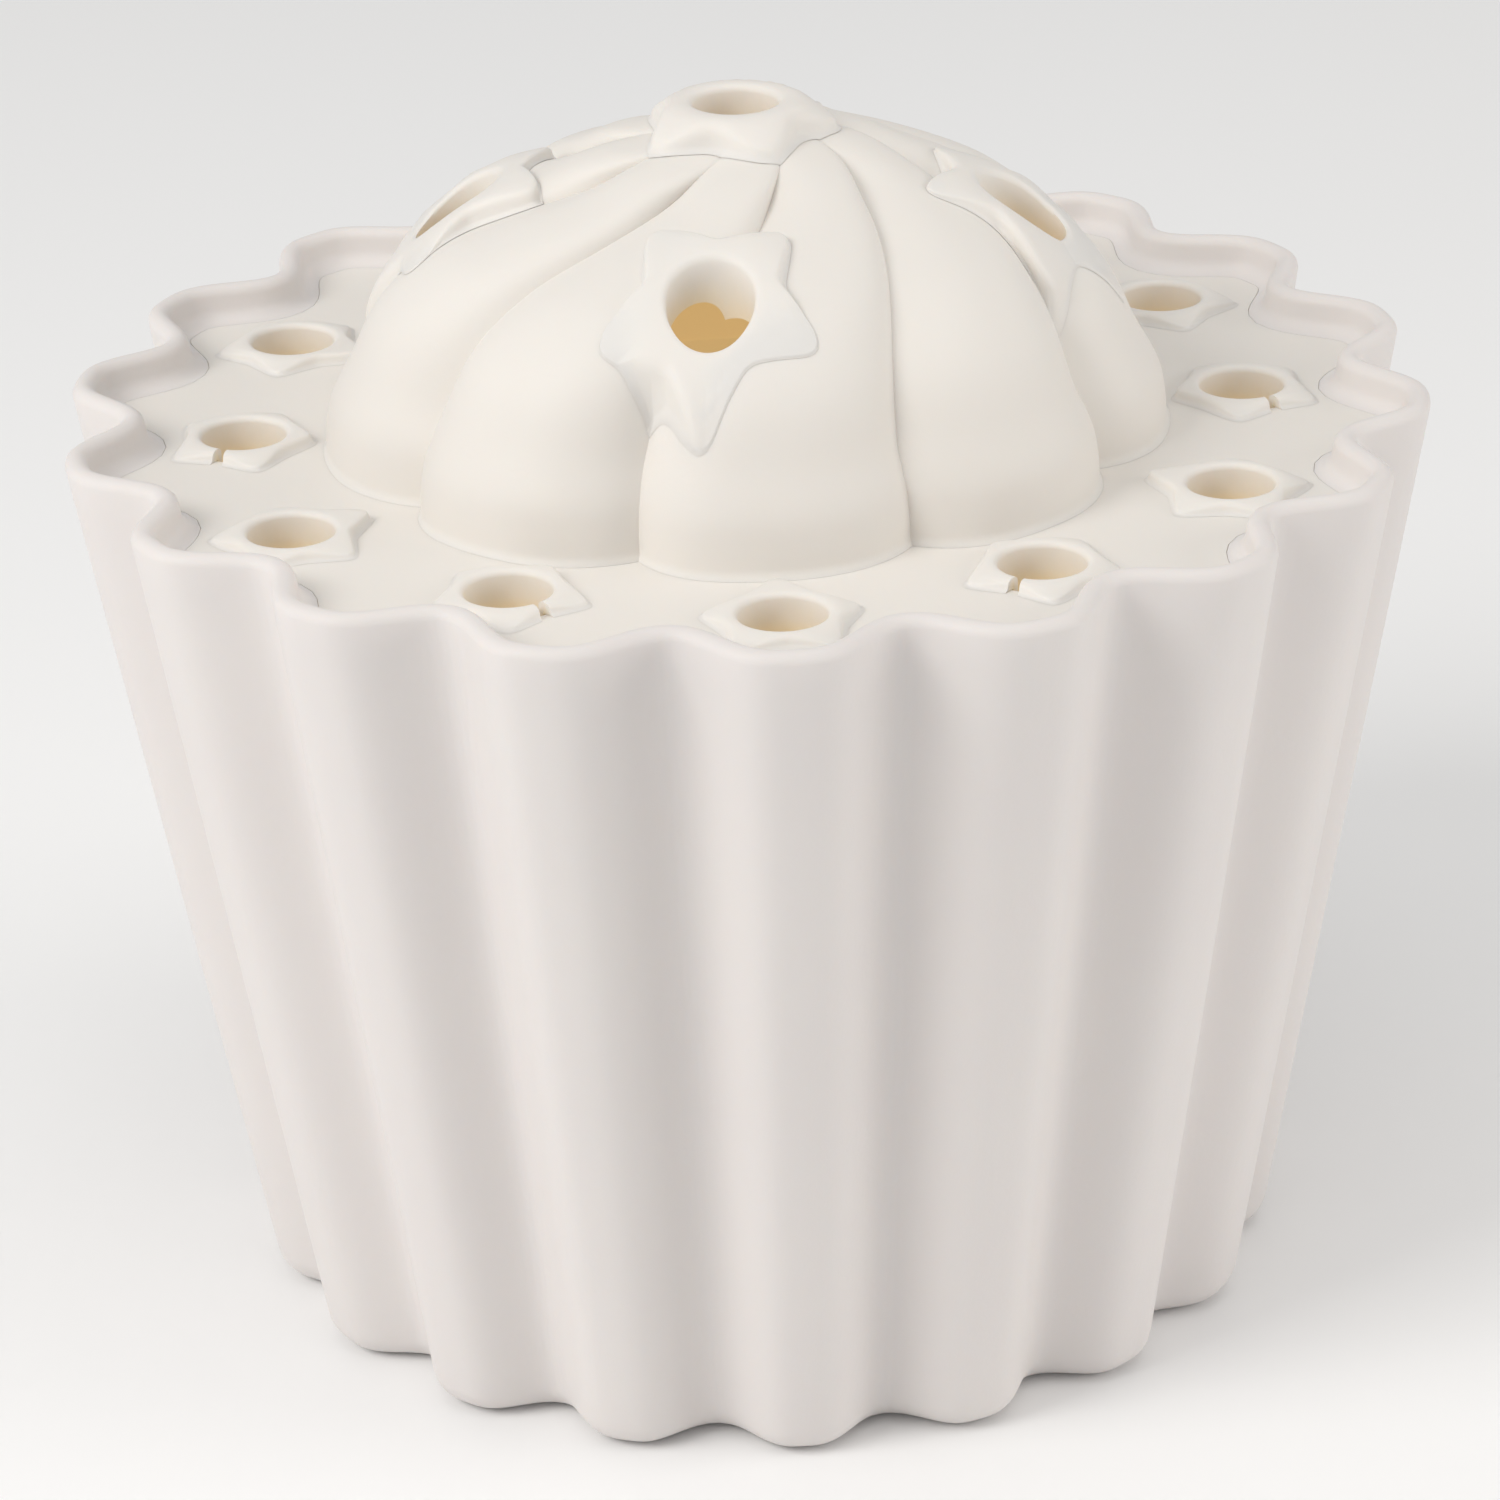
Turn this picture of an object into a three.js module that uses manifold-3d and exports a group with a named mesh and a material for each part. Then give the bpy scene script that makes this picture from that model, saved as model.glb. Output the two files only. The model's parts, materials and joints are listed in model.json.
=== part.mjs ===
// Flower frog shaped like a frosted cupcake: a fluted cup that holds water, and a
// lift-off lid made of a flat deck, a swirled hollow dome and star-shaped stem collars.
// Millimetres, +Z up, front toward -Y. Azimuths run from the front toward +X.
import * as THREE from 'three';
import { mergeVertices } from 'three/addons/utils/BufferGeometryUtils.js';
import Module from 'manifold-3d';

// ---- fluted cup ----
const RIM_RADIUS = 65.0;            // flute crests at the rim
const BASE_RADIUS = 49.6;           // flute crests at the base
const CUP_HEIGHT = 88.8;
const FLUTES = 18;
const FLUTE_PHASE = -6.9;           // azimuth of one valley, degrees
const RIM_FLUTE_DEPTH = 5.8;
const BASE_FLUTE_DEPTH = 4.4;
const VALLEY_POWER = 1.6;           // above 1 narrows the valleys
const BASE_FILLET = 3.2;
const WALL = 2.2;
const FLOOR = 2.6;
const SAMPLES_PER_FLUTE = 6;

// ---- deck and the ledge it rests on ----
const GAP = 0.3;                    // clearance between separate pieces
const DECK_TOP = 85.2;
const DECK_THICKNESS = 2.4;
const DECK_BOTTOM = DECK_TOP - DECK_THICKNESS;
const COVE = 1.4;                   // hollow curve from the inner wall down to the deck
const COVE_INSET = WALL + COVE;
const DECK_INSET = COVE_INSET + GAP;
const LEDGE_TOP = DECK_BOTTOM - GAP;
const LEDGE_THICKNESS = 2.0;
const LEDGE_INSET = 4.9;            // the ledge's edge, in from the outer face
const DECK_OPENING_RADIUS = 34.4;

// ---- stem holes and their star collars ----
const STEM_RADIUS = 4.0;
const SLEEVE_RADIUS = 4.7;
const PANEL_HOLE_RADIUS = SLEEVE_RADIUS + GAP;
const RING_HOLES = 12;
const RING_PHASE = 3.2;
const OUTER_RING_RADIUS = 49.7;     // plain collars
const INNER_RING_RADIUS = 47.6;     // split collars
const RING_STAR_TIP = 8.2;
const PLAIN_INWARD_TIP = 9.2;       // the point toward the dome, plain collars
const SPLIT_INWARD_TIP = 7.2;       // the same point, split collars
const RING_STAR_WAIST = 5.4;
const RING_STAR_RAISE = 1.1;
const LIP_RADIUS = 5.2;
const LIP_THICKNESS = 0.9;
const SLIT_WIDTH = 0.8;
const SLIT_OFFSET = 64;             // slit measured from the outward direction, toward the front

// ---- frosting dome ----
const LOBES = 9;
const LOBE_PHASE = 24;              // azimuth of one crease at the foot
const LOBE_DEPTH = 4.2;
const CREASE_FADE = 6;              // the creases get shallower over this height below the top
const SWIRL = 66;                   // how far the creases turn on the way up
const SWIRL_POWER = 1.4;
const SWIRL_START_RADIUS = 38.0;    // the creases run straight up outside this radius
const DOME_SHELL = 2.8;
const DOME_TOP = 29.0;              // above the deck
const DOME_PROFILE = [              // height above deck, crest radius
  [0.0, 40.0], [1.5, 40.0], [4.2, 39.7], [9.4, 37.2], [14.6, 34.6],
  [19.8, 29.5], [23.0, 23.6], [25.6, 17.5], [27.8, 12.6], [28.6, 9.6], [29.0, 6.6],
];
const DOME_RINGS = [0.3, 2.0, 5.0, 9.4, 14.6, 19.8, 23.0, 25.6, 27.8, 28.6, 29.0];
const SAMPLES_PER_LOBE = 8;
const FOOT_RING_INNER = 32.2;
const FOOT_RING_THICKNESS = 1.6;
const SPIGOT_RADIUS = 34.0;
const SPIGOT_DROP = 1.5;            // how far the spigot hangs below the deck
const DOME_STARS = 4;
const DOME_STAR_RADIUS = 26.6;
const DOME_STAR_PHASE = -6;
const DOME_STAR_TIP = 11.3;
const DOME_STAR_DOWN_TIP = 10.2;     // the tip that points down the slope
const DOME_STAR_WAIST = 6.4;
const DOME_STAR_RAISE = 1.1;
const APEX_STAR_TIP = 10.8;
const APEX_STAR_WAIST = 6.6;
const APEX_STAR_RAISE = 1.4;         // the points
const APEX_RING_RADIUS = 6.2;
const APEX_RING_RAISE = 2.8;        // the ring round the hole

const WHITE = 0xece6de;
const CUP_WHITE = 0xe4dfda;

const wasm = await Module();
wasm.setup();

const rad = (degrees) => degrees * Math.PI / 180;
const polar = (r, azimuth, z) => new THREE.Vector3(r * Math.sin(azimuth), -r * Math.cos(azimuth), z);
const smooth = (x) => x * x * (3 - 2 * x);

// Closed solid from equal-length rings; each end is closed by a fan to a centre point.
function loft(rings, startCentre, endCentre) {
  const positions = [];
  const index = [];
  const n = rings[0].length;
  for (const ring of rings) {
    for (const p of ring) positions.push(p.x, p.y, p.z);
  }
  for (let k = 0; k + 1 < rings.length; k += 1) {
    for (let i = 0; i < n; i += 1) {
      const j = (i + 1) % n;
      const a = k * n + i;
      const b = k * n + j;
      const c = (k + 1) * n + i;
      const d = (k + 1) * n + j;
      index.push(a, b, d, a, d, c);
    }
  }
  const start = positions.length / 3;
  positions.push(startCentre.x, startCentre.y, startCentre.z);
  const end = start + 1;
  positions.push(endCentre.x, endCentre.y, endCentre.z);
  const last = (rings.length - 1) * n;
  for (let i = 0; i < n; i += 1) {
    const j = (i + 1) % n;
    index.push(start, j, i);
    index.push(end, last + i, last + j);
  }
  const geometry = new THREE.BufferGeometry();
  geometry.setAttribute('position', new THREE.Float32BufferAttribute(positions, 3));
  geometry.setIndex(index);
  return geometry;
}

function toSolid(geometry) {
  const bare = geometry.clone();
  bare.deleteAttribute('normal');
  bare.deleteAttribute('uv');
  const welded = mergeVertices(bare, 1e-4);
  const mesh = new wasm.Mesh({
    numProp: 3,
    vertProperties: new Float32Array(welded.attributes.position.array),
    triVerts: new Uint32Array(welded.index.array),
  });
  return new wasm.Manifold(mesh);
}

function toGeometry(solid) {
  const mesh = solid.getMesh();
  const geometry = new THREE.BufferGeometry();
  geometry.setAttribute('position', new THREE.Float32BufferAttribute(mesh.vertProperties, 3));
  geometry.setIndex(new THREE.Uint32BufferAttribute(mesh.triVerts, 1));
  geometry.computeVertexNormals();
  return geometry;
}

// Solid cylinder standing on z = bottom.
function cylinder(radius, bottom, top, x = 0, y = 0, segments = 16) {
  const geometry = new THREE.CylinderGeometry(radius, radius, top - bottom, segments);
  geometry.rotateX(Math.PI / 2);
  geometry.translate(x, y, (top + bottom) / 2);
  return toSolid(geometry);
}

// ---- fluted outline ----
function fluteRadius(azimuth, z) {
  const s = z / CUP_HEIGHT;
  const crest = BASE_RADIUS + (RIM_RADIUS - BASE_RADIUS) * s;
  const depth = BASE_FLUTE_DEPTH + (RIM_FLUTE_DEPTH - BASE_FLUTE_DEPTH) * s;
  const valley = Math.cos(FLUTES * (azimuth - rad(FLUTE_PHASE)) / 2) ** 2;
  return crest - depth * valley ** VALLEY_POWER;
}

// Fluted ring at height z, moved inward from the outer face by `inset`.
function fluteRing(z, inset, height = z) {
  const count = FLUTES * SAMPLES_PER_FLUTE;
  const ring = [];
  for (let i = 0; i < count; i += 1) {
    const azimuth = 2 * Math.PI * i / count + rad(FLUTE_PHASE);
    const r = fluteRadius(azimuth, z);
    const slope = (fluteRadius(azimuth + 1e-4, z) - fluteRadius(azimuth - 1e-4, z)) / 2e-4;
    const length = Math.hypot(r, slope);
    const radial = r - inset * r / length;
    const sideways = inset * slope / length;
    const p = polar(radial, azimuth, height);
    p.x += sideways * Math.cos(azimuth);
    p.y += sideways * Math.sin(azimuth);
    ring.push(p);
  }
  return ring;
}

function makeCup() {
  const rings = [];
  for (const angle of [0, 30, 60, 90]) {
    const z = BASE_FILLET * (1 - Math.cos(rad(angle)));
    rings.push(fluteRing(z, BASE_FILLET * (1 - Math.sin(rad(angle)))));
  }
  const lip = WALL / 2;
  for (const angle of [0, 60, 120, 180]) {
    const z = CUP_HEIGHT - lip + lip * Math.sin(rad(angle));
    rings.push(fluteRing(CUP_HEIGHT - lip, lip * (1 - Math.cos(rad(angle))), z));
  }
  for (const angle of [0, 45, 90]) {
    const z = DECK_TOP + COVE * (1 - Math.sin(rad(angle)));
    rings.push(fluteRing(z, COVE_INSET - COVE * Math.cos(rad(angle))));
  }
  rings.push(fluteRing(LEDGE_TOP, COVE_INSET));
  rings.push(fluteRing(LEDGE_TOP, LEDGE_INSET));
  rings.push(fluteRing(LEDGE_TOP - LEDGE_THICKNESS, LEDGE_INSET));
  rings.push(fluteRing(LEDGE_TOP - LEDGE_THICKNESS - 5, WALL));
  rings.push(fluteRing(FLOOR + BASE_FILLET, WALL));
  rings.push(fluteRing(FLOOR + BASE_FILLET, WALL + BASE_FILLET, FLOOR));
  return loft(rings, new THREE.Vector3(0, 0, 0), new THREE.Vector3(0, 0, FLOOR));
}

// ---- stem hole positions ----
function ringHole(index) {
  const azimuth = RING_PHASE + index * 360 / RING_HOLES;
  const split = index % 2 === 1;
  const radius = split ? INNER_RING_RADIUS : OUTER_RING_RADIUS;
  const centre = polar(radius, rad(azimuth), 0);
  return { azimuth, split, centre };
}

function domeHole(index) {
  const azimuth = DOME_STAR_PHASE + index * 360 / DOME_STARS;
  return { azimuth, centre: polar(DOME_STAR_RADIUS, rad(azimuth), 0) };
}

function makeDeck() {
  const rings = [fluteRing(DECK_BOTTOM, DECK_INSET), fluteRing(DECK_TOP, DECK_INSET)];
  const low = new THREE.Vector3(0, 0, DECK_BOTTOM);
  const high = new THREE.Vector3(0, 0, DECK_TOP);
  let deck = toSolid(loft(rings, low, high));
  const below = DECK_BOTTOM - 1;
  const above = DECK_TOP + 1;
  deck = deck.subtract(cylinder(DECK_OPENING_RADIUS, below, above, 0, 0, 48));
  for (let i = 0; i < RING_HOLES; i += 1) {
    const { centre } = ringHole(i);
    deck = deck.subtract(cylinder(PANEL_HOLE_RADIUS, below, above, centre.x, centre.y));
  }
  return toGeometry(deck);
}

// ---- dome surface ----
function profileRadius(height) {
  for (let k = 0; k + 1 < DOME_PROFILE.length; k += 1) {
    const [h0, r0] = DOME_PROFILE[k];
    const [h1, r1] = DOME_PROFILE[k + 1];
    if (height <= h1) return r0 + (r1 - r0) * (height - h0) / (h1 - h0);
  }
  return DOME_PROFILE[DOME_PROFILE.length - 1][1];
}

function swirlAt(height) {
  const inward = Math.max(0, 1 - profileRadius(height) / SWIRL_START_RADIUS);
  return SWIRL * inward ** SWIRL_POWER;
}

function domeRadius(azimuth, height) {
  const turn = azimuth * 180 / Math.PI - LOBE_PHASE - swirlAt(height);
  const u = (((turn * LOBES / 360) % 1) + 1) % 1;
  const side = Math.abs(2 * u - 1);
  const crease = side ** (u < 0.5 ? 3.2 : 2.4);
  const fade = smooth(Math.min(1, (DOME_TOP + 2.0 - height) / CREASE_FADE));
  return profileRadius(height) - LOBE_DEPTH * fade * crease;
}

function domePoint(azimuth, height, inset) {
  const r = domeRadius(azimuth, height);
  const da = 0.02;
  const around = (domeRadius(azimuth + da, height) - domeRadius(azimuth - da, height)) / (2 * da * r);
  const high = Math.min(height + 0.6, DOME_TOP);
  const low = Math.max(height - 0.6, 0);
  const upward = (domeRadius(azimuth, high) - domeRadius(azimuth, low)) / (high - low);
  const length = Math.hypot(1, around, upward);
  const p = polar(r - inset / length, azimuth, DECK_TOP + height + inset * upward / length);
  p.x += inset * around / length * Math.cos(azimuth);
  p.y += inset * around / length * Math.sin(azimuth);
  return p;
}

function domeRings(inset) {
  const count = LOBES * SAMPLES_PER_LOBE;
  return DOME_RINGS.map((height) => {
    const ring = [];
    for (let i = 0; i < count; i += 1) {
      const azimuth = rad(LOBE_PHASE + swirlAt(height)) + 2 * Math.PI * i / count;
      ring.push(domePoint(azimuth, height, inset));
    }
    return ring;
  });
}

function apexPoint(inset) {
  return new THREE.Vector3(0, 0, DECK_TOP + DOME_TOP - inset);
}

// Everything inside the dome's inner face, carried down past the foot.
function domeCavity() {
  const rings = domeRings(DOME_SHELL);
  const foot = rings[0].map((p) => new THREE.Vector3(p.x, p.y, DECK_TOP - 5));
  const below = new THREE.Vector3(0, 0, DECK_TOP - 5);
  return toSolid(loft([foot, ...rings], below, apexPoint(DOME_SHELL)));
}

function domeOuter() {
  const foot = new THREE.Vector3(0, 0, DECK_TOP + GAP);
  return toSolid(loft(domeRings(0), foot, apexPoint(0)));
}

// Solid of revolution under the crest profile, lifted by `rise`.
function underCrests(rise) {
  const points = [new THREE.Vector2(0, DECK_TOP - 5)];
  points.push(new THREE.Vector2(DOME_PROFILE[0][1], DECK_TOP - 5));
  for (const [height, radius] of DOME_PROFILE.slice(1)) {
    points.push(new THREE.Vector2(radius, DECK_TOP + height + rise));
  }
  points.push(new THREE.Vector2(0, DECK_TOP + DOME_TOP + rise));
  const geometry = new THREE.LatheGeometry(points, 36);
  geometry.rotateX(Math.PI / 2);
  return toSolid(geometry);
}

function makeDome(outer, cavity) {
  let dome = outer.subtract(cavity);
  const footTop = DECK_TOP + GAP + FOOT_RING_THICKNESS;
  const foot = outer.intersect(cylinder(DOME_PROFILE[0][1] + 5, DECK_TOP, footTop, 0, 0, 48));
  const spigot = cylinder(SPIGOT_RADIUS, DECK_BOTTOM - SPIGOT_DROP, footTop, 0, 0, 48);
  dome = dome.add(foot).add(spigot);
  dome = dome.subtract(cylinder(FOOT_RING_INNER, DECK_BOTTOM - 5, footTop + 0.01, 0, 0, 48));
  dome = dome.subtract(cylinder(PANEL_HOLE_RADIUS, DECK_TOP + 10, DECK_TOP + DOME_TOP + 5));
  for (let i = 0; i < DOME_STARS; i += 1) {
    const { centre } = domeHole(i);
    const top = DECK_TOP + DOME_TOP + 5;
    dome = dome.subtract(cylinder(PANEL_HOLE_RADIUS, DECK_TOP + 6, top, centre.x, centre.y));
  }
  return toGeometry(dome);
}

// ---- star collars ----
// Five-pointed prism whose first tip points along `azimuth` (degrees).
function starPrism(tip, waist, azimuth, bottom, top, firstTip = tip) {
  const shape = new THREE.Shape();
  for (let k = 0; k < 10; k += 1) {
    const point = k === 0 ? firstTip : tip;
    const r = k % 2 === 0 ? point : waist;
    const p = polar(r, rad(azimuth + 36 * k), 0);
    if (k === 0) shape.moveTo(p.x, p.y);
    else shape.lineTo(p.x, p.y);
  }
  shape.closePath();
  const geometry = new THREE.ExtrudeGeometry(shape, { depth: top - bottom, bevelEnabled: false });
  geometry.translate(0, 0, bottom);
  return toSolid(geometry);
}

// Slit through the collar's wall and flange, along `azimuth`.
function slitBox(azimuth, bottom, top) {
  const reach = RING_STAR_TIP + 1;
  const geometry = new THREE.BoxGeometry(SLIT_WIDTH, reach, top - bottom);
  geometry.translate(0, -reach / 2, (top + bottom) / 2);
  geometry.rotateZ(rad(azimuth));
  return toSolid(geometry);
}

function makeRingStar(index) {
  const { azimuth, split, centre } = ringHole(index);
  const flangeBottom = DECK_TOP + GAP;
  const flangeTop = DECK_TOP + RING_STAR_RAISE;
  const lipTop = DECK_BOTTOM - GAP;
  const lipBottom = lipTop - LIP_THICKNESS;
  const side = azimuth < 180 ? -1 : 1;
  const slit = azimuth + side * SLIT_OFFSET;
  const inward = split ? slit + side * 108 : azimuth + 180;
  const inwardTip = split ? SPLIT_INWARD_TIP : PLAIN_INWARD_TIP;
  let star = starPrism(
    RING_STAR_TIP, RING_STAR_WAIST, inward, flangeBottom, flangeTop, inwardTip,
  );
  star = star.add(cylinder(SLEEVE_RADIUS, lipBottom, flangeTop - 0.4));
  star = star.add(cylinder(LIP_RADIUS, lipBottom, lipTop));
  star = star.subtract(cylinder(STEM_RADIUS, lipBottom - 1, flangeTop + 1));
  if (split) star = star.subtract(slitBox(slit, lipBottom - 1, flangeTop + 1));
  return toGeometry(star.translate([centre.x, centre.y, 0]));
}

function makeSlopeStar(x, y, star, cavity, upper, lower) {
  const bottom = DECK_TOP + 6;
  const top = DECK_TOP + DOME_TOP + 8;
  const sleeve = cylinder(SLEEVE_RADIUS, bottom, top, x, y).intersect(upper).subtract(cavity);
  const flange = star.translate([x, y, 0]).intersect(upper).subtract(lower);
  return toGeometry(flange.add(sleeve).subtract(cylinder(STEM_RADIUS, bottom - 1, top + 1, x, y)));
}

// ---- assembly ----
const assembly = new THREE.Group();
assembly.name = 'flower_frog';

function addNode(name, geometry, colour) {
  const material = new THREE.MeshStandardMaterial({ color: colour, roughness: 0.62, metalness: 0.0 });
  const mesh = new THREE.Mesh(geometry, material);
  mesh.name = name;
  assembly.add(mesh);
}

addNode('fluted_cup', makeCup(), CUP_WHITE);
addNode('deck_plate', makeDeck(), WHITE);
const cavity = domeCavity();
const aboveCrests = underCrests(GAP);
addNode('frosting_dome', makeDome(domeOuter(), cavity), WHITE);
for (let i = 0; i < RING_HOLES; i += 1) {
  const kind = ringHole(i).split ? 'ring_star_split' : 'ring_star';
  addNode(`${kind}_${i + 1}`, makeRingStar(i), WHITE);
}
const prismBottom = DECK_TOP + 6;
const prismTop = DECK_TOP + DOME_TOP + 8;
const domeStarTop = underCrests(GAP + DOME_STAR_RAISE);
for (let i = 0; i < DOME_STARS; i += 1) {
  const { azimuth, centre } = domeHole(i);
  const star = starPrism(
    DOME_STAR_TIP, DOME_STAR_WAIST, azimuth, prismBottom, prismTop, DOME_STAR_DOWN_TIP,
  );
  const collar = makeSlopeStar(centre.x, centre.y, star, cavity, domeStarTop, aboveCrests);
  addNode(`dome_star_${i + 1}`, collar, WHITE);
}
const apexPrism = starPrism(APEX_STAR_TIP, APEX_STAR_WAIST, 90, prismBottom, prismTop);
const apexPoints = apexPrism.intersect(underCrests(APEX_STAR_RAISE));
const apexShape = apexPoints.add(cylinder(APEX_RING_RADIUS, prismBottom, prismTop, 0, 0, 32));
const apexTop = underCrests(APEX_RING_RAISE);
addNode('apex_star', makeSlopeStar(0, 0, apexShape, cavity, apexTop, aboveCrests), WHITE);

export default assembly;
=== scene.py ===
"""Flower frog like a frosted cupcake: fluted cup, recessed deck, swirled dome and star collars.

Metres, +Z up, front toward -Y. Azimuths run from the front toward +X.
"""

import json
import math

import bpy
import numpy as np
from mathutils import Matrix, Vector


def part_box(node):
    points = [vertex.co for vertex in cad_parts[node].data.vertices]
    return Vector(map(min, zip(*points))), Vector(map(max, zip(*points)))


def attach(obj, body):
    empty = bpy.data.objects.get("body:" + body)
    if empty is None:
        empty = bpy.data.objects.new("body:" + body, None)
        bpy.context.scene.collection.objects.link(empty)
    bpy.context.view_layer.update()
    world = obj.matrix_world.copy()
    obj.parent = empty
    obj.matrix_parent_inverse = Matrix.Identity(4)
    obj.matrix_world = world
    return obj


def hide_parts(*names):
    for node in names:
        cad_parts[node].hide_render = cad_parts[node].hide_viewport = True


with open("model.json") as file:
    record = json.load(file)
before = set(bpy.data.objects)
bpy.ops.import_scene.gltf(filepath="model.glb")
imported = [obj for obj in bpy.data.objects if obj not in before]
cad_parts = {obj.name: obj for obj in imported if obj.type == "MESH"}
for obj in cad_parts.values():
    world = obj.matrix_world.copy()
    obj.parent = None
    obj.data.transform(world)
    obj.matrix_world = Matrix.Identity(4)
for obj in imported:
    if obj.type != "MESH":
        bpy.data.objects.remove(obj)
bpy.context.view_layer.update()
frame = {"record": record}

MM = 0.001

# ---- places taken from the frame ----
CUP_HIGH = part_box("fluted_cup")[1]
DECK_LOW, DECK_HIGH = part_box("deck_plate")
DOME_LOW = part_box("frosting_dome")[0]
APEX_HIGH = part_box("apex_star")[1]
RING_STAR_LOW, RING_STAR_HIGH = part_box("ring_star_1")
CUP_HEIGHT = CUP_HIGH.z
DECK_TOP = DECK_HIGH.z
DECK_BOTTOM = DECK_LOW.z

# ---- cup ----
RIM_RADIUS = 65.0 * MM
BASE_RADIUS = 49.6 * MM
FLUTES = 18
FLUTE_PHASE = math.radians(-6.9)
RIM_FLUTE_DEPTH = 5.8 * MM
BASE_FLUTE_DEPTH = 4.4 * MM
VALLEY_POWER = 1.6
BASE_FILLET = 3.2 * MM
WALL = 2.2 * MM
COVE = 1.4 * MM
COVE_INSET = WALL + COVE
FLOOR = 2.6 * MM
LEDGE_CLEARANCE = 0.3 * MM
LEDGE_TOP = DECK_BOTTOM - LEDGE_CLEARANCE
LEDGE_THICKNESS = 2.0 * MM
LEDGE_INSET = 4.9 * MM
LEDGE_SLOPE_DROP = 7.0 * MM       # the slope under the ledge meets the wall this far down
DECK_OPENING = 34.4 * MM
FLUTE_SAMPLES = 24
ARC_STEPS = 9
LIP_STEPS = 13
WALL_STEPS = 30
INSIDE_STEPS = 12
LEDGE_PAINTED_GLOW = [0.5, 1.0, 1.0]    # share of painted amber light and glow where the ledge starts, turns and ends
CUTTER_MARGIN = 1.0 * MM

# ---- collars ----
RING_HOLE_COUNT = 12
DOME_HOLE_COUNT = 4
STAR_POINTS = 5
OUTLINE_STEP = 0.5                # degrees between the points of a star outline
STEM_RADIUS = 4.0 * MM
SLEEVE_RADIUS = 4.7 * MM
PANEL_HOLE = 5.0 * MM
RING_STAR_TIP = 8.2 * MM
PLAIN_INWARD_TIP = 9.2 * MM
SPLIT_INWARD_TIP = 7.2 * MM
RING_STAR_SINK = 0.65             # share of its height that a collar loses toward its points
INWARD_HOLD = 0.85                # how much of that the inward point is spared
RING_STAR_WAIST = 5.4 * MM
LIP_RADIUS = 5.2 * MM
LIP_THICKNESS = 0.9 * MM
SLIT_WIDTH = 0.8 * MM
SLIT_OFFSET = math.radians(64)
INWARD_OFFSET = math.radians(108) # from the slit to the inward point of a split collar
RING_STAR_FALL = 3.0 * MM         # distance past the sleeve over which the top falls
RING_STAR_FLARE = 0.5 * MM
RING_STAR_SOFT = 4.5              # degrees over which the outline is blurred
RING_STAR_STEPS = 240
RING_MOUTH_ROUND = 0.6 * MM
RING_MOUTH_DEPTH = 2.5 * MM
RING_MOUTH_ANGLES = [22, 45, 68, 90]
# painted amber light and glow, standing in for light bounced inside the hole: shares down the bore, and on
# the sleeve
RING_BORE_PAINTED_GLOW = [0.8, 0.1, 0.0]
RING_SLEEVE_PAINTED_GLOW = 0.5
RING_EDGE_INSET = 0.3 * MM
RING_EDGE_PROFILE = [             # outward in millimetres, share of the edge's height
    (-0.3, 1.0), (-0.12, 0.88), (0.0, 0.62), (0.06, 0.4), (0.2, 0.15), (0.5, 0.0),
]
DOME_STAR_TIP = 11.3 * MM
DOME_STAR_DOWN_TIP = 10.2 * MM
DOME_STAR_WAIST = 6.4 * MM
DOME_STAR_RAISE = 1.0 * MM
DOME_STAR_TILT = 1.5 * MM         # how much lower its down-slope side sits
DOME_STAR_SINK = 0.6              # share of its height that it loses toward its points
DOME_STAR_SOFT = 5.0
APEX_STAR_TIP = 10.8 * MM
APEX_STAR_WAIST = 6.6 * MM
APEX_RING_RADIUS = 5.6 * MM       # where the ring round the apex hole starts to fall away
APEX_STAR_SINK = 0.62
APEX_STAR_SOFT = 9.0
APEX_STAR_TURN = math.radians(90)
SLOPE_STAR_FALL = 4.0 * MM
SLOPE_STAR_STEPS = 300
SLOPE_TILT_START = 2.0 * MM       # up-slope of the hole, where the tilt begins
SLOPE_TILT_SPAN = 8.0 * MM
SLOPE_MOUTH_ROUND = 0.7 * MM
SLOPE_MOUTH_DEPTH = 2.2 * MM
SLOPE_ARC_ANGLES = [30, 60, 90]
# painted amber light and glow down the bore of a dome collar, standing in for light bounced inside the hole
SLOPE_BORE_PAINTED_GLOW = [0.35, 0.05, 0.0]
SLEEVE_REACH = 1.15               # depth of the sleeve in shell thicknesses
SLEEVE_PROBE = 0.4 * MM           # outside the bore, where that depth is measured
SLOPE_EDGE_ROUND = 0.9 * MM
SLOPE_EDGE_ROUND_SHARE = 0.6      # most of the edge's height that the rounding may take
SLOPE_EDGE_FLARE = 0.7 * MM
SLOPE_EDGE_FLARE_SHARE = 0.35
SLOPE_EDGE_PROFILE = [(0.1, 0.9), (0.35, 0.4), (1.0, 0.0)]
STAR_SKIN = 0.25 * MM             # least height of a star above a lobe
CONTACT = 0.05 * MM
DECK_CONTACT = 0.015 * MM

# ---- dome ----
LOBES = 9
LOBE_PHASE = math.radians(24)
LOBE_DEPTH = 4.2 * MM
SWIRL = math.radians(66)
SWIRL_POWER = 1.4
CREASE_FADE = 6.0 * MM            # height over which the creases get shallower
CREASE_FADE_END = 2.0 * MM        # above the top, where they would be gone
CREASE_LEAD_POWER = 3.2
CREASE_TRAIL_POWER = 2.4
DOME_SHELL = 2.8 * MM
SWIRL_START_RADIUS = 38.0 * MM    # the creases run straight up outside this radius
FOOT_FLARE = 0.4 * MM             # small fillet where the dome meets the deck
FOOT_FLARE_HEIGHT = 1.0 * MM
DOME_PROFILE = np.array([
    [0.0, 40.0], [1.5, 40.0], [4.2, 39.7], [9.4, 37.2], [14.6, 34.6],
    [19.8, 29.5], [23.0, 23.6], [25.6, 17.5], [27.8, 12.6], [28.6, 9.6], [29.0, 6.6],
]) * MM
DOME_RISE = DOME_PROFILE[-1, 0]
FOOT_RING_INNER = 32.2 * MM
FOOT_RING_THICKNESS = 1.6 * MM
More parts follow.
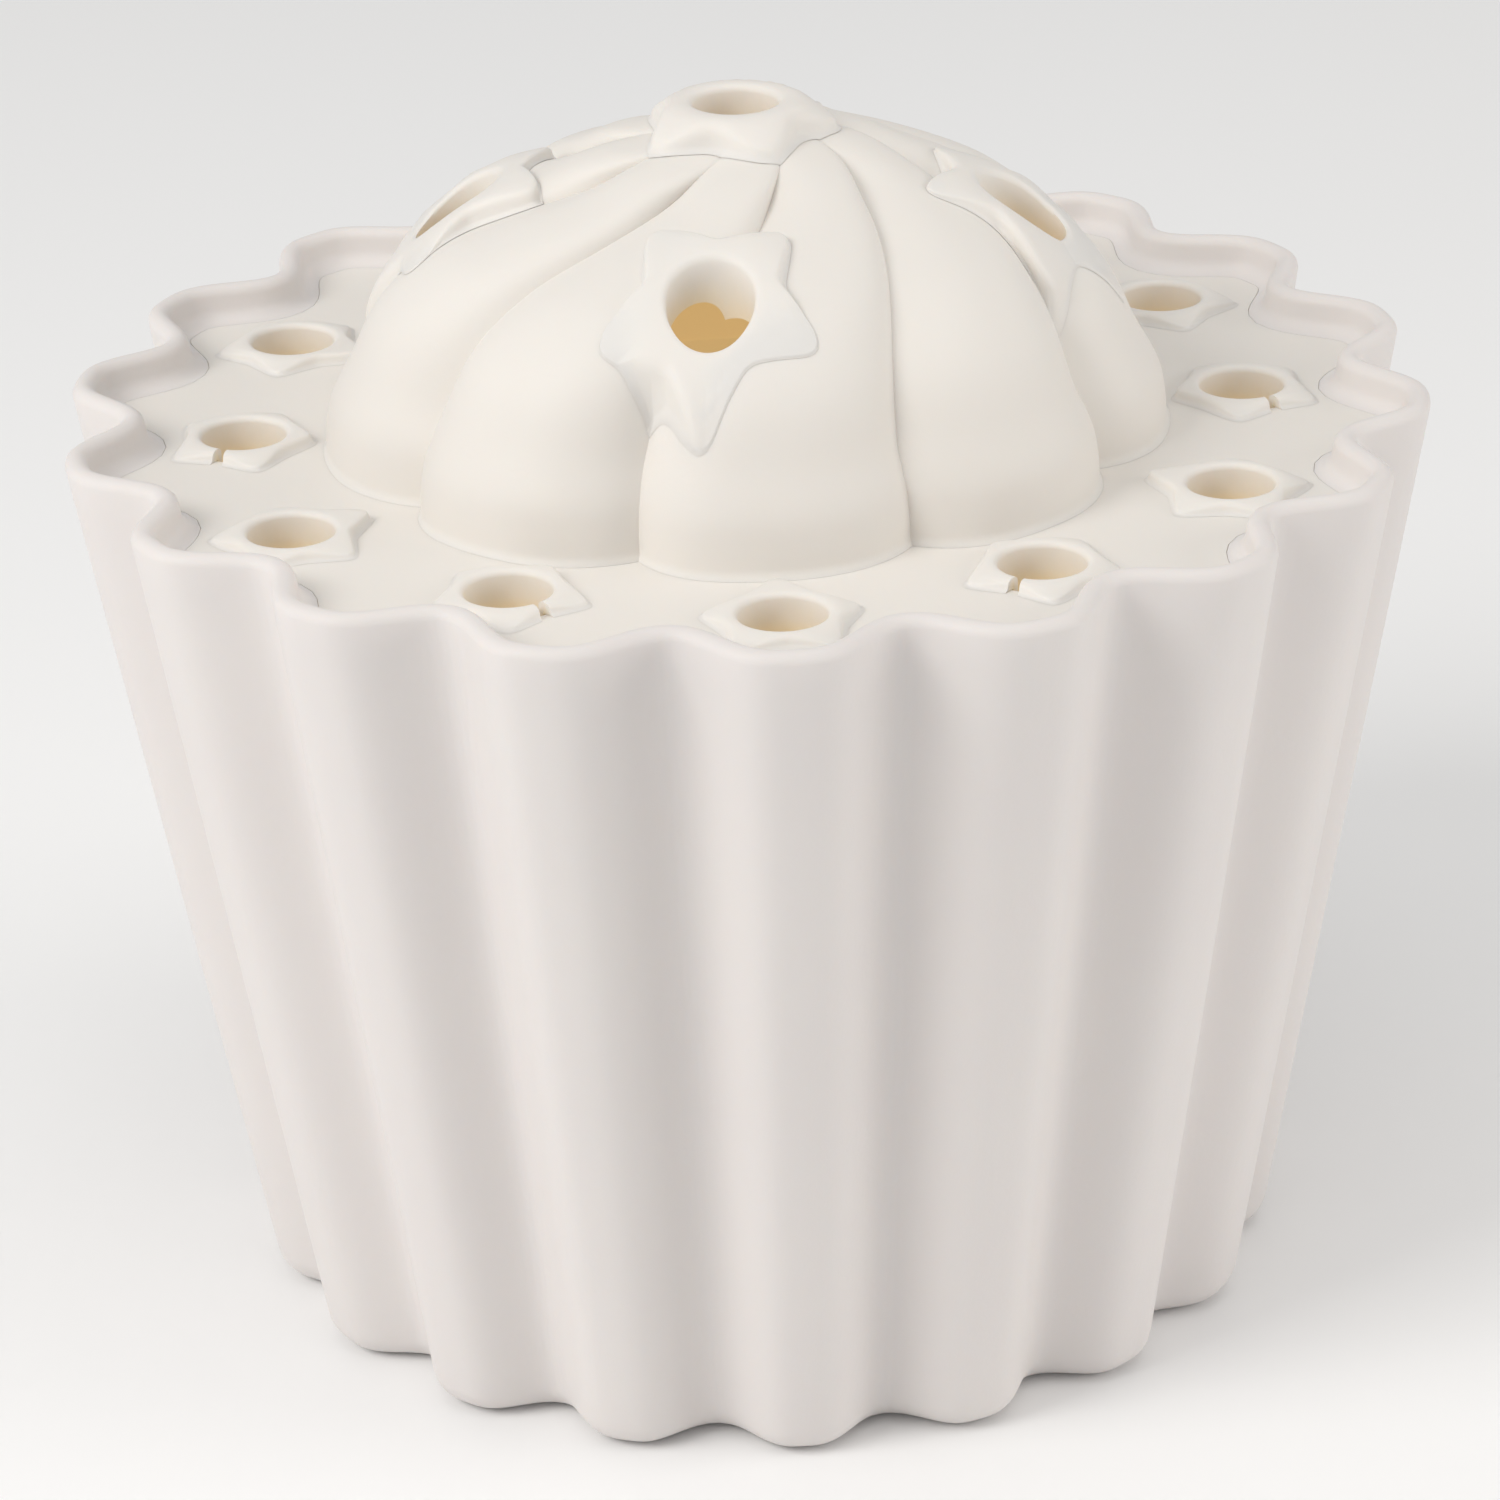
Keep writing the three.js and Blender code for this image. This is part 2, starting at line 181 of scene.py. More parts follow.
SPIGOT_RADIUS = 34.0 * MM
LOBE_SAMPLES = 36
DOME_SHOULDER = 22.0 * MM         # rings stand closer together above this height
FOOT_STEPS = 6
FLANK_STEPS = 32
SHOULDER_STEPS = 26
APEX_CAP_RADIUS = 0.5 * MM
DOME_CUT_START = 6.0 * MM
DOME_CUT_MARGIN = 5.0 * MM
SEARCH_START = 3.0 * MM           # lowest height at which the outer face is looked for
SEARCH_HALVINGS = 30

# ---- shading: steeper edges than these, in degrees, stay sharp ----
SHARP_ANGLE = 35
DOME_SHARP_ANGLE = 40
ROUNDED_SHARP_ANGLE = 50

# ---- plastic ----
MIX_A, MIX_B, MIX_RESULT = 6, 7, 2   # colour sockets of a mix node
MOTTLE_SCALE = 38
MOTTLE_DETAIL = 4
SPECK_SCALE = 42
SPECK_CORE = 0.012
SPECK_EDGE = 0.022
SPECK_STRENGTH = 0.55
SPECK_COLOUR = (0.32, 0.27, 0.22, 1)
# painted light: inside faces get an amber colour and a faint amber glow, standing in for light passed
# through the thin walls and bounced round the hollows
PAINTED_AMBER_LIGHT = (0.70, 0.58, 0.36, 1)
AMBER_GLOW = (0.80, 0.64, 0.36, 1)
GLOW_STRENGTH = 0.26
BLACK = (0, 0, 0, 1)
ROUGHNESS_SPREAD = 0.06
GRAIN_SCALE = 1400
GRAIN_DETAIL = 3
GRAIN_DEPTH = 0.05 * MM
SUBSURFACE_WEIGHT = 0.15
SUBSURFACE_RADIUS = (1.0, 0.72, 0.5)
SUBSURFACE_SCALE = 1.6 * MM
SPECULAR_LEVEL = 0.35

# ---- stage ----
FLOOR_HALF_SIZE = 3.0
FLOOR_COLOUR = (0.93, 0.93, 0.93, 1)
FLOOR_ROUGHNESS = 0.9
LIGHT_TARGET = (0, 0, 0.08)
LIGHTS = [                        # name, place, diameter, power, colour
    ("key", (-0.75, -0.5, 0.8), 0.6, 5.8, (1.0, 0.985, 0.96)),
    ("top", (0.1, -0.2, 1.2), 1.0, 2.9, (1.0, 0.99, 0.97)),
    ("left", (-1.1, -0.2, 0.35), 0.7, 1.2, (1.0, 0.98, 0.97)),
    ("right", (1.1, -0.2, 0.4), 0.7, 3.8, (1.0, 0.97, 0.93)),
]
WORLD_COLOUR = (1, 1, 1, 1)
WORLD_STRENGTH = 0.45

# ---- camera: where it stands and how it is turned ----
CAMERA_DISTANCE = 519.0 * MM
CAMERA_HEIGHT = 287.2 * MM
CAMERA_PITCH = 0.428
CAMERA_YAW = -0.001
CAMERA_ROLL = -0.031
CAMERA_LENS = 140.1
CAMERA_SENSOR = 36
CAMERA_CLIP = (0.02, 50)


# ---------------------------------------------------------------- mesh helpers
def polar(radius, azimuth, height):
    """Points at these radii, azimuths and heights as an (n, 3) array."""
    radius, azimuth, height = np.broadcast_arrays(radius, azimuth, height)
    return np.stack([radius * np.sin(azimuth), -radius * np.cos(azimuth), height], -1)


def smooth(x):
    x = np.clip(x, 0, 1)
    return x * x * (3 - 2 * x)


def mesh_object(name, vertices, faces, painted_glow=None):
    """New object; the optional value per vertex is the share of painted amber light and glow on inside
    faces.
    """
    mesh = bpy.data.meshes.new(name)
    mesh.from_pydata([tuple(v) for v in vertices], [], faces)
    if painted_glow is not None:
        layer = mesh.attributes.new("painted_glow", "FLOAT", "POINT")
        layer.data.foreach_set("value", np.asarray(painted_glow, np.float32))
    mesh.update()
    obj = bpy.data.objects.new(name, mesh)
    bpy.context.scene.collection.objects.link(obj)
    return obj


def ring_faces(rings, count, closed_around=True, closed_along=False):
    """Quads joining successive rings of equal length."""
    faces = []
    steps = rings if closed_along else rings - 1
    spans = count if closed_around else count - 1
    for k in range(steps):
        a = k * count
        b = ((k + 1) % rings) * count
        for i in range(spans):
            j = (i + 1) % count
            faces.append((a + i, a + j, b + j, b + i))
    return faces


def capped_loft(name, rings, start, end, painted_glow=None):
    """Closed solid from rings, with a centre point at each end."""
    count = len(rings[0])
    vertices = np.concatenate([*rings, [start], [end]])
    faces = ring_faces(len(rings), count)
    first = len(vertices) - 2
    last = len(vertices) - 1
    base = (len(rings) - 1) * count
    for i in range(count):
        j = (i + 1) % count
        faces.append((first, j, i))
        faces.append((last, base + i, base + j))
    if painted_glow is not None:
        per_ring = np.repeat(painted_glow, count)
        painted_glow = np.concatenate([per_ring, [painted_glow[0], painted_glow[-1]]])
    return mesh_object(name, vertices, faces, painted_glow)


def cut(obj, *tools):
    """Subtracts the tools from obj and removes them."""
    for tool in tools:
        modifier = obj.modifiers.new("cut", "BOOLEAN")
        modifier.operation = "DIFFERENCE"
        modifier.solver = "EXACT"
        modifier.object = tool
    apply_modifiers(obj)
    for tool in tools:
        bpy.data.objects.remove(tool)


def apply_modifiers(obj):
    bpy.context.view_layer.update()
    graph = bpy.context.evaluated_depsgraph_get()
    mesh = bpy.data.meshes.new_from_object(obj.evaluated_get(graph))
    obj.modifiers.clear()
    obj.data = mesh


def cylinder(radius, low, high, centre=(0, 0), count=96):
    azimuth = np.linspace(0, 2 * np.pi, count, endpoint=False)
    shift = np.array([centre[0], centre[1], 0])
    rings = [polar(radius, azimuth, z) + shift for z in (low, high)]
    return capped_loft("tool", rings, shift + [0, 0, low], shift + [0, 0, high])


def shade(obj, angle):
    for polygon in obj.data.polygons:
        polygon.use_smooth = True
    obj.data.set_sharp_from_angle(angle=math.radians(angle))


def finish_piece(obj, body, nodes, material, angle=SHARP_ANGLE):
    shade(obj, angle)
    obj.data.materials.clear()
    obj.data.materials.append(material)
    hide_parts(*nodes)
    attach(obj, body)


# ---------------------------------------------------------------- materials
def link(tree, a, out, b, into):
    tree.links.new(a.outputs[out], b.inputs[into])


def plastic(name, colour, cool, roughness, grain):
    """Matte translucent white with a faint mottle, sparse specks and fine grain; inside faces get painted
    amber light and a painted glow.
    """
    material = bpy.data.materials.new(name)
    material.use_nodes = True
    tree = material.node_tree
    shader = tree.nodes["Principled BSDF"]
    coordinates = tree.nodes.new("ShaderNodeTexCoord")

    mottle = tree.nodes.new("ShaderNodeTexNoise")
    mottle.inputs["Scale"].default_value = MOTTLE_SCALE
    mottle.inputs["Detail"].default_value = MOTTLE_DETAIL
    link(tree, coordinates, "Object", mottle, "Vector")
    tint = tree.nodes.new("ShaderNodeMix")
    tint.data_type = "RGBA"
    tint.inputs[MIX_A].default_value = (*colour, 1)
    tint.inputs[MIX_B].default_value = (*cool, 1)
    link(tree, mottle, "Fac", tint, 0)

    specks = tree.nodes.new("ShaderNodeTexVoronoi")
    specks.inputs["Scale"].default_value = SPECK_SCALE
    link(tree, coordinates, "Object", specks, "Vector")
    dark = tree.nodes.new("ShaderNodeMapRange")
    dark.inputs["From Min"].default_value = SPECK_CORE
    dark.inputs["From Max"].default_value = SPECK_EDGE
    dark.inputs["To Min"].default_value = SPECK_STRENGTH
    dark.inputs["To Max"].default_value = 0.0
    link(tree, specks, "Distance", dark, "Value")
    speckled = tree.nodes.new("ShaderNodeMix")
    speckled.data_type = "RGBA"
    speckled.inputs[MIX_B].default_value = SPECK_COLOUR
    link(tree, dark, "Result", speckled, 0)
    link(tree, tint, MIX_RESULT, speckled, MIX_A)

    # painted light: the per-vertex share turns inside faces amber and makes them glow faintly, for light
    # passed through the walls and bounced inside
    painted_glow = tree.nodes.new("ShaderNodeAttribute")
    painted_glow.attribute_name = "painted_glow"
    painted_amber_mix = tree.nodes.new("ShaderNodeMix")
    painted_amber_mix.data_type = "RGBA"
    painted_amber_mix.inputs[MIX_B].default_value = PAINTED_AMBER_LIGHT
    link(tree, painted_glow, "Fac", painted_amber_mix, 0)
    link(tree, speckled, MIX_RESULT, painted_amber_mix, MIX_A)
    link(tree, painted_amber_mix, MIX_RESULT, shader, "Base Color")

    glow = tree.nodes.new("ShaderNodeMix")
    glow.data_type = "RGBA"
    glow.inputs[MIX_A].default_value = BLACK
    glow.inputs[MIX_B].default_value = AMBER_GLOW
    link(tree, painted_glow, "Fac", glow, 0)
    link(tree, glow, MIX_RESULT, shader, "Emission Color")
    shader.inputs["Emission Strength"].default_value = GLOW_STRENGTH

    rough = tree.nodes.new("ShaderNodeMapRange")
    rough.inputs["To Min"].default_value = roughness - ROUGHNESS_SPREAD
    rough.inputs["To Max"].default_value = roughness + ROUGHNESS_SPREAD
    link(tree, mottle, "Fac", rough, "Value")
    link(tree, rough, "Result", shader, "Roughness")

    fine = tree.nodes.new("ShaderNodeTexNoise")
    fine.inputs["Scale"].default_value = GRAIN_SCALE
    fine.inputs["Detail"].default_value = GRAIN_DETAIL
    link(tree, coordinates, "Object", fine, "Vector")
    bump = tree.nodes.new("ShaderNodeBump")
    bump.inputs["Strength"].default_value = grain
    bump.inputs["Distance"].default_value = GRAIN_DEPTH
    link(tree, fine, "Fac", bump, "Height")
    link(tree, bump, "Normal", shader, "Normal")

    shader.inputs["Subsurface Weight"].default_value = SUBSURFACE_WEIGHT
    shader.inputs["Subsurface Radius"].default_value = SUBSURFACE_RADIUS
    shader.inputs["Subsurface Scale"].default_value = SUBSURFACE_SCALE
    shader.inputs["Specular IOR Level"].default_value = SPECULAR_LEVEL
    return material


CUP_PLASTIC = plastic("cup_plastic", (0.78, 0.745, 0.72), (0.75, 0.71, 0.695), 0.55, 0.35)
LID_PLASTIC = plastic("lid_plastic", (0.82, 0.785, 0.735), (0.79, 0.755, 0.71), 0.55, 0.30)
COLLAR_PLASTIC = plastic("collar_plastic", (0.83, 0.795, 0.75), (0.80, 0.765, 0.72), 0.50, 0.20)


# ---------------------------------------------------------------- fluted outline
def flute_radius(azimuth, z):
    s = z / CUP_HEIGHT
    crest = BASE_RADIUS + (RIM_RADIUS - BASE_RADIUS) * s
    depth = BASE_FLUTE_DEPTH + (RIM_FLUTE_DEPTH - BASE_FLUTE_DEPTH) * s
    valley = np.cos(FLUTES * (azimuth - FLUTE_PHASE) / 2) ** 2
    return crest - depth * valley**VALLEY_POWER


def flute_ring(z, inset, height=None):
    """Fluted ring at height z, moved in from the outer face by inset."""
    azimuth = np.linspace(0, 2 * np.pi, FLUTES * FLUTE_SAMPLES, endpoint=False) + FLUTE_PHASE
    step = 1e-4
    radius = flute_radius(azimuth, z)
    slope = (flute_radius(azimuth + step, z) - flute_radius(azimuth - step, z)) / (2 * step)
    length = np.hypot(radius, slope)
    ring = polar(radius - inset * radius / length, azimuth, z if height is None else height)
    sideways = inset * slope / length
    ring[:, 0] += sideways * np.cos(azimuth)
    ring[:, 1] += sideways * np.sin(azimuth)
    return ring


def make_cup():
    rings = []
    for angle in np.radians(np.linspace(0, 90, ARC_STEPS)):
        rings.append(flute_ring(BASE_FILLET * (1 - math.cos(angle)), BASE_FILLET * (1 - math.sin(angle))))
    lip = WALL / 2
    for z in np.linspace(BASE_FILLET, CUP_HEIGHT - lip, WALL_STEPS)[1:-1]:
        rings.append(flute_ring(z, 0))
    for angle in np.radians(np.linspace(0, 180, LIP_STEPS)):
        height = CUP_HEIGHT - lip + lip * math.sin(angle)
        rings.append(flute_ring(CUP_HEIGHT - lip, lip * (1 - math.cos(angle)), height))
    # share of painted amber light and glow per ring: none on the outside, full on the inside under the ledge
    painted_glow = [0.0] * len(rings)
    for angle in np.radians(np.linspace(0, 90, ARC_STEPS)):
        height = DECK_TOP + COVE * (1 - math.sin(angle))
        rings.append(flute_ring(height, COVE_INSET - COVE * math.cos(angle)))
        painted_glow.append(0.0)
    rings.append(flute_ring(LEDGE_TOP, COVE_INSET))
    rings.append(flute_ring(LEDGE_TOP, LEDGE_INSET))
    rings.append(flute_ring(LEDGE_TOP - LEDGE_THICKNESS, LEDGE_INSET))
    painted_glow += LEDGE_PAINTED_GLOW
    for z in np.linspace(LEDGE_TOP - LEDGE_SLOPE_DROP, FLOOR + BASE_FILLET, INSIDE_STEPS):
        rings.append(flute_ring(z, WALL))
        painted_glow.append(1.0)
    rings.append(flute_ring(FLOOR + BASE_FILLET, WALL + BASE_FILLET, FLOOR))
    painted_glow.append(1.0)
    cup = capped_loft("fluted_cup_fine", rings, (0, 0, 0), (0, 0, FLOOR), painted_glow)
    finish_piece(cup, "cup", ["fluted_cup"], CUP_PLASTIC, ROUNDED_SHARP_ANGLE)


def opening_centre(name):
    """Middle of one of the record's opening boxes, seen from above."""
    boxes = {o["name"]: o["box_m"] for o in frame["record"]["physics"]["openings"]}
    low, high = boxes[name]
    return np.array([(low[0] + high[0]) / 2, (low[1] + high[1]) / 2])


RING_HOLES = [opening_centre(f"ring_stem_hole_{i + 1}") for i in range(RING_HOLE_COUNT)]
DOME_HOLES = [opening_centre(f"dome_stem_hole_{i + 1}") for i in range(DOME_HOLE_COUNT)]


def make_deck():
    inset = COVE_INSET + CONTACT
    rings = [flute_ring(DECK_BOTTOM, inset), flute_ring(DECK_TOP, inset)]
    # painted amber light and glow on the deck's underside, none on its top
    deck = capped_loft("deck_plate_fine", rings, (0, 0, DECK_BOTTOM), (0, 0, DECK_TOP), [1.0, 0.0])
    low, high = DECK_BOTTOM - CUTTER_MARGIN, DECK_TOP + CUTTER_MARGIN
    tools = [cylinder(DECK_OPENING, low, high, count=160)]
    tools += [cylinder(PANEL_HOLE, low, high, centre, 64) for centre in RING_HOLES]
    cut(deck, *tools)
    finish_piece(deck, "lid", ["deck_plate"], LID_PLASTIC)


# ---------------------------------------------------------------- dome
def monotone_slopes(x, y):
    """Slopes of a smooth curve through the points that never overshoots them."""
    d = np.diff(y) / np.diff(x)
    m = np.empty(len(x))
    m[0], m[-1] = d[0], d[-1]
    same = d[:-1] * d[1:] > 0
    mean = 2 * d[:-1] * d[1:] / np.where(same, d[:-1] + d[1:], 1)
    m[1:-1] = np.where(same, mean, 0)
    return m


PROFILE_SLOPES = monotone_slopes(DOME_PROFILE[:, 0], DOME_PROFILE[:, 1])


def profile_radius(height):
    """Crest radius of the dome at a height above the deck."""
    x, y = DOME_PROFILE[:, 0], DOME_PROFILE[:, 1]
    height = np.clip(height, x[0], x[-1])
    k = np.clip(np.searchsorted(x, height, side="right") - 1, 0, len(x) - 2)
    step = x[k + 1] - x[k]
    t = (height - x[k]) / step
    a = (1 + 2 * t) * (1 - t) ** 2
    b = t * (1 - t) ** 2 * step
    c = t * t * (3 - 2 * t)
    d = t * t * (t - 1) * step
    return a * y[k] + b * PROFILE_SLOPES[k] + c * y[k + 1] + d * PROFILE_SLOPES[k + 1]


def swirl_at(height):
    inward = np.maximum(0, 1 - profile_radius(height) / SWIRL_START_RADIUS)
    return SWIRL * inward**SWIRL_POWER


def dome_radius(azimuth, height):
    turn = azimuth - LOBE_PHASE - swirl_at(height)
    u = (turn * LOBES / (2 * math.pi)) % 1.0
    side = np.abs(2 * u - 1)
    crease = np.where(u < 0.5, side**CREASE_LEAD_POWER, side**CREASE_TRAIL_POWER)
    fade = smooth((DOME_RISE + CREASE_FADE_END - height) / CREASE_FADE)
    flare = FOOT_FLARE * np.clip(1 - height / FOOT_FLARE_HEIGHT, 0, 1) ** 2
    return profile_radius(height) + flare - LOBE_DEPTH * fade * crease


def dome_ring(height, inset):
    azimuth = np.linspace(0, 2 * np.pi, LOBES * LOBE_SAMPLES, endpoint=False) + LOBE_PHASE + swirl_at(height)
    radius = dome_radius(azimuth, height)
    da, dh = 0.01, 0.3 * MM
    around = (dome_radius(azimuth + da, height) - dome_radius(azimuth - da, height)) / (2 * da * radius)
    high, low = min(height + dh, DOME_RISE), max(height - dh, 0)
    upward = (dome_radius(azimuth, high) - dome_radius(azimuth, low)) / (high - low)
    length = np.sqrt(1 + around**2 + upward**2)
    ring = polar(radius - inset / length, azimuth, DECK_TOP + height + inset * upward / length)
    sideways = inset * around / length
    ring[:, 0] += sideways * np.cos(azimuth)
    ring[:, 1] += sideways * np.sin(azimuth)
    return ring


def make_dome():
    heights = np.concatenate([
        np.linspace(DECK_CONTACT, FOOT_FLARE_HEIGHT, FOOT_STEPS)[:-1],
        np.linspace(FOOT_FLARE_HEIGHT, DOME_SHOULDER, FLANK_STEPS),
        np.linspace(DOME_SHOULDER, DOME_RISE, SHOULDER_STEPS)[1:],
    ])
    outer = [dome_ring(h, 0) for h in heights]
    inner = [dome_ring(h, DOME_SHELL) for h in heights[::-1][::2]]
    foot_top = DECK_TOP + FOOT_RING_THICKNESS
    azimuth = np.linspace(0, 2 * np.pi, len(outer[0]), endpoint=False) + LOBE_PHASE
    inner = [ring for ring in inner if ring[:, 2].min() > foot_top]
    inner.append(polar(FOOT_RING_INNER, azimuth, foot_top))
    inner.append(polar(FOOT_RING_INNER, azimuth, DOME_LOW.z))
    inner.append(polar(SPIGOT_RADIUS, azimuth, DOME_LOW.z))
    inner.append(polar(SPIGOT_RADIUS, azimuth, DECK_TOP + DECK_CONTACT))
    # painted amber light and glow on the dome's inner face, none on its outer face
    painted_glow = [0.0] * len(outer) + [1.0] * len(inner)
    apex_out = DECK_TOP + DOME_RISE
    apex_in = apex_out - DOME_SHELL
    count = len(outer[0])
    caps = [polar(APEX_CAP_RADIUS, azimuth, height) for height in (apex_out, apex_in)]
    rings = [*outer, *caps, *inner]
    painted_glow.insert(len(outer), 0.0)
    painted_glow.insert(len(outer) + 1, 1.0)
    vertices = np.concatenate(rings)
    faces = ring_faces(len(rings), count, closed_along=True)
    dome = mesh_object("frosting_dome_fine", vertices, faces, np.repeat(painted_glow, count))
    low, high = DECK_TOP + DOME_CUT_START, DECK_TOP + DOME_RISE + DOME_CUT_MARGIN
    tools = [cylinder(PANEL_HOLE, low, high, centre) for centre in [*DOME_HOLES, (0, 0)]]
    cut(dome, *tools)
    finish_piece(dome, "lid", ["frosting_dome"], LID_PLASTIC, DOME_SHARP_ANGLE)


def surface_height(points, lobed=True):
    """Height of the dome's outer face over points seen from above."""
    azimuth = np.arctan2(points[:, 0], -points[:, 1])
    radius = np.hypot(points[:, 0], points[:, 1])
    low = np.full(len(points), SEARCH_START)
    high = np.full(len(points), DOME_RISE)
    for _ in range(SEARCH_HALVINGS):
        middle = (low + high) / 2
        reach = dome_radius(azimuth, middle) if lobed else profile_radius(middle)
        outside = radius > reach
        high = np.where(outside, middle, high)
        low = np.where(outside, low, middle)
    return DECK_TOP + (low + high) / 2


# ---------------------------------------------------------------- star collars
def star_outline(angles, tip, waist, down_tip, soft):
    """Radius of a five-pointed star with softened tips and corners.

    A tip is at angle 0. It reaches down_tip if that is given, and tip if it is None.
    """
    fine = np.radians(np.arange(0, 360, OUTLINE_STEP))
    corner = math.radians(180 / STAR_POINTS)
    turn = (fine + corner) % (2 * corner) - corner
    first = (fine < corner) | (fine > 2 * math.pi - corner)
    reach = np.where(first, tip if down_tip is None else down_tip, tip)
    sector = np.abs(turn)
    radius = reach * waist * math.sin(corner) / (reach * np.sin(sector) + waist * np.sin(corner - sector))
    span = int(3 * soft / OUTLINE_STEP)
    kernel = np.exp(-0.5 * (np.arange(-span, span + 1) * OUTLINE_STEP / soft) ** 2)
    kernel /= kernel.sum()
    padded = np.concatenate([radius[-span:], radius, radius[:span]])
    rounded = np.convolve(padded, kernel, "valid")
    angle = np.asarray(angles) % (2 * math.pi)
    return np.interp(angle, np.append(fine, 2 * math.pi), np.append(rounded, rounded[0]))


def collar_mesh(name, centre, angles, sections, painted_glow, closed):
    """Closed loop of sections swept round the hole; sections are (radius, height) arrays."""
    rings = []
    for radius, height in sections:
        rings.append(polar(radius, angles, height) + np.array([centre[0], centre[1], 0]))
    count = len(angles)
    faces = ring_faces(len(rings), count, closed_around=closed, closed_along=True)
    if not closed:
        total = len(rings)
        faces.append([k * count for k in range(total)])
        faces.append([k * count + count - 1 for k in range(total)][::-1])
    return mesh_object(name, np.concatenate(rings), faces, np.repeat(painted_glow, count))


def ring_star(index):
    centre = RING_HOLES[index]
    split = index % 2 == 1
    azimuth = math.atan2(centre[0], -centre[1]) % (2 * math.pi)
    side = -1 if azimuth < math.pi else 1
    slit = azimuth + side * SLIT_OFFSET
    inward = slit + side * INWARD_OFFSET if split else azimuth + math.pi
    if split:
        half = math.asin(SLIT_WIDTH / 2 / STEM_RADIUS)
        angles = slit + np.linspace(half, 2 * math.pi - half, RING_STAR_STEPS)
    else:
        angles = np.linspace(0, 2 * math.pi, RING_STAR_STEPS, endpoint=False)
    inward_tip = SPLIT_INWARD_TIP if split else PLAIN_INWARD_TIP
    outline = star_outline(angles - inward, RING_STAR_TIP - RING_STAR_FLARE, RING_STAR_WAIST,
                           inward_tip - RING_STAR_FLARE, RING_STAR_SOFT)
    top = RING_STAR_HIGH.z
    low = RING_STAR_LOW.z
    lip_top = low + LIP_THICKNESS
    rest = DECK_TOP + DECK_CONTACT

    def top_at(radius):
        spared = INWARD_HOLD * np.clip(np.cos(angles - inward), 0, 1) ** 2
        fall = RING_STAR_SINK * (1 - spared) * smooth((radius - SLEEVE_RADIUS) / RING_STAR_FALL)
        return top - (top - rest) * fall

    round_in = RING_MOUTH_ROUND
    sections = [(STEM_RADIUS, low), (STEM_RADIUS, top - RING_MOUTH_DEPTH), (STEM_RADIUS, top - round_in)]
    painted_glow = list(RING_BORE_PAINTED_GLOW)
    for angle in np.radians(RING_MOUTH_ANGLES):
        radius = STEM_RADIUS + round_in * (1 - math.cos(angle))
        sections.append((radius, top - round_in * (1 - math.sin(angle))))
    for share in (0.25, 0.5, 0.75):
        radius = (STEM_RADIUS + round_in) * (1 - share) + (outline - RING_EDGE_INSET) * share
        sections.append((radius, top_at(radius)))
    wall = top_at(outline) - rest
    for out, up in RING_EDGE_PROFILE:
        sections.append((outline + out * MM, rest + up * wall))
    painted_glow += [0.0] * (len(sections) - len(painted_glow))
    sections += [(SLEEVE_RADIUS, rest), (SLEEVE_RADIUS, lip_top), (LIP_RADIUS, lip_top), (LIP_RADIUS, low)]
    painted_glow += [RING_SLEEVE_PAINTED_GLOW] * 4
    kind = "ring_star_split" if split else "ring_star"
    node = f"{kind}_{index + 1}"
    star = collar_mesh(f"{node}_fine", centre, angles, sections, painted_glow, not split)
    finish_piece(star, "lid", [node], COLLAR_PLASTIC, ROUNDED_SHARP_ANGLE)


def slope_star(node, centre, tip_azimuth, outline, raise_by, tilt, ring, sink):
    """Collar that follows the dome's slope: it bridges the creases and sinks into the lobes.

    Outside the ring radius its raised top falls away by the share sink.
    """
    angles = np.linspace(0, 2 * math.pi, len(outline), endpoint=False)
    offset = np.array([centre[0], centre[1]])

    def over(radius):
        return polar(radius, angles, 0.0)[:, :2] + offset

    def skin(radius):
        return surface_height(over(radius))

    def top_at(radius):
        along = radius * np.cos(angles - tip_azimuth)
        fall = 1 - sink * smooth((radius - ring) / SLOPE_STAR_FALL)
        lift = raise_by * fall - tilt * smooth((along + SLOPE_TILT_START) / SLOPE_TILT_SPAN)
        return np.maximum(surface_height(over(radius), lobed=False) + lift, skin(radius) + STAR_SKIN)

    bore = np.full(len(angles), STEM_RADIUS)
    sleeve = np.full(len(angles), SLEEVE_RADIUS)
    under = skin(bore + SLEEVE_PROBE) - DOME_SHELL * SLEEVE_REACH
    mouth = top_at(bore)
    round_in = SLOPE_MOUTH_ROUND
    sections = [(bore, under), (bore, mouth - SLOPE_MOUTH_DEPTH), (bore, mouth - round_in)]
    painted_glow = list(SLOPE_BORE_PAINTED_GLOW)
    for angle in np.radians(SLOPE_ARC_ANGLES):
        radius = bore + round_in * (1 - math.cos(angle))
        sections.append((radius, top_at(radius) - round_in * (1 - math.sin(angle))))
    side = top_at(outline) - skin(outline)
    round_out = np.minimum(SLOPE_EDGE_ROUND, SLOPE_EDGE_ROUND_SHARE * side)
    flare = np.minimum(SLOPE_EDGE_FLARE, SLOPE_EDGE_FLARE_SHARE * side)
    for share in (0.3, 0.6, 1.0):
        radius = (bore + round_in) * (1 - share) + (outline - round_out) * share
        sections.append((radius, top_at(radius)))
    for angle in np.radians(SLOPE_ARC_ANGLES):
        radius = outline - round_out * (1 - math.sin(angle))
        sections.append((radius, top_at(radius) - round_out * (1 - math.cos(angle))))
    for out, up in SLOPE_EDGE_PROFILE:
        radius = outline + out * flare
        sections.append((radius, skin(radius) + CONTACT + up * flare))
    for share in (0.66, 0.33, 0.0):
        radius = outline * share + SLEEVE_RADIUS * (1 - share)
        sections.append((radius, skin(radius) + CONTACT))
    sections.append((sleeve, under))
    painted_glow += [0.0] * (len(sections) - len(painted_glow) - 1) + SLOPE_BORE_PAINTED_GLOW[:1]
    star = collar_mesh(f"{node}_fine", centre, angles, sections, painted_glow, True)
    finish_piece(star, "lid", [node], COLLAR_PLASTIC, ROUNDED_SHARP_ANGLE)


